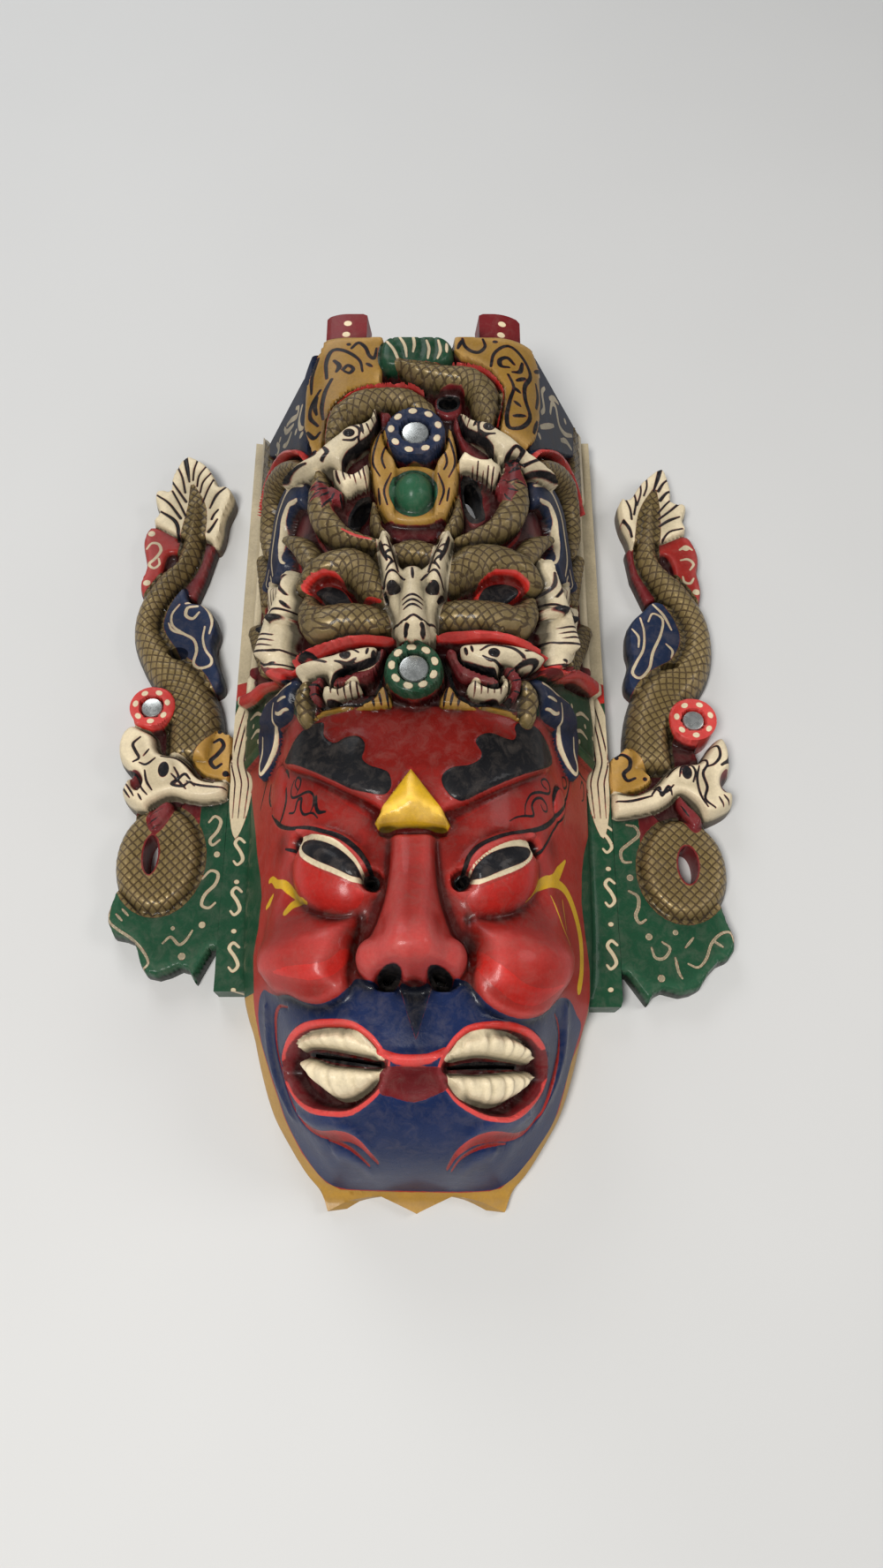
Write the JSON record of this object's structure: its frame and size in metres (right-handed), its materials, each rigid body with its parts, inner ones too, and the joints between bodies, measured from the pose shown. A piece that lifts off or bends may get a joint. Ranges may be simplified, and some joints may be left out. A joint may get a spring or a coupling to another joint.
{
  "type": "wall mask",
  "caption": "Carved and painted wooden stage mask: fierce red face with bared teeth, tall arched dragon crown, flat dragon side wings and small round mirrors.",
  "frame": {"origin": "under the middle of the whole, on the plane of the back rim on which the mask lies", "axes": "+Y from the chin to the open end of the crown, +Z out of the carved front, +X to the viewer's right"},
  "size_m": [0.2988, 0.411, 0.1139],
  "materials": {
    "painted_wood": "hand-painted in brick red, deep blue, bronze gold, green, ivory, ochre and black, under an old worn varnish",
    "wing_wood": "hand-painted bronze-gold scales with ivory, navy, red, green and ochre, under an old worn varnish",
    "mirror_glass": "small old mirror glass, dulled and grey"
  },
  "bodies": {
    "root": {"mask_body": "painted_wood", "left_wing": "wing_wood", "right_wing": "wing_wood", "crown_upper_mirror": "mirror_glass", "crown_lower_mirror": "mirror_glass", "left_wing_mirror": "mirror_glass", "right_wing_mirror": "mirror_glass"}
  },
  "joints": []
}
